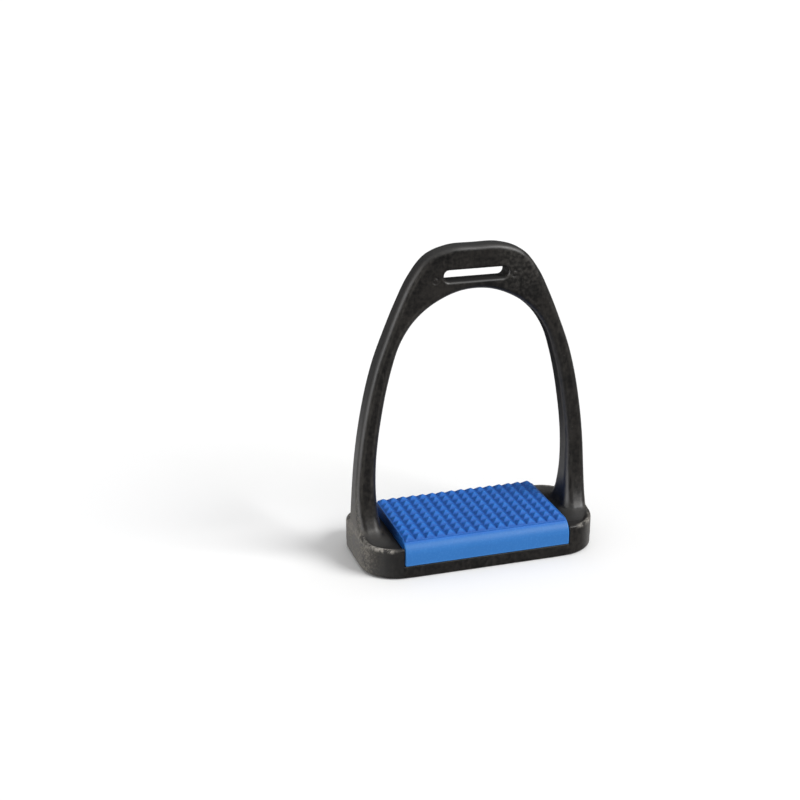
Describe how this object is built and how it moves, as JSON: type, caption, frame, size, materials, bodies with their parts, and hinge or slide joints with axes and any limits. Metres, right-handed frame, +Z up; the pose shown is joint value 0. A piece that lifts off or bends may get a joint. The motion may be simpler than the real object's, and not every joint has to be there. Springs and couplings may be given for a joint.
{
  "type": "stirrup iron",
  "caption": "Black moulded riding stirrup with a leather slot in its eye and a removable blue rubber tread with a pyramid grip.",
  "frame": {"origin": "centre of the footplate's outline, on the ground plane that the stirrup stands on", "axes": "+Z up, +X along the tread from left to right, +Y from the front edge of the tread to the rear"},
  "size_m": [0.1478, 0.0672, 0.1903],
  "materials": {
    "frame": "satin moulded glass-filled nylon",
    "tread": "matte blue rubber",
    "tread_core": "natural nylon",
    "fasteners": "stainless steel"
  },
  "bodies": {
    "frame_body": {"frame": "frame"},
    "tread_body": {"tread": "tread", "tread_core": "tread_core"},
    "screws_body": {"tread_screws": "fasteners", "screw_washers": "fasteners"}
  },
  "joints": [
    {"name": "tread_lift", "type": "slide", "parent": "frame_body", "child": "tread_body", "axis": [0, 0, 1], "range_m": [0, 0.025]},
    {"name": "screws_draw", "type": "slide", "parent": "frame_body", "child": "screws_body", "axis": [0, 0, -1], "range_m": [0, 0.012]}
  ]
}
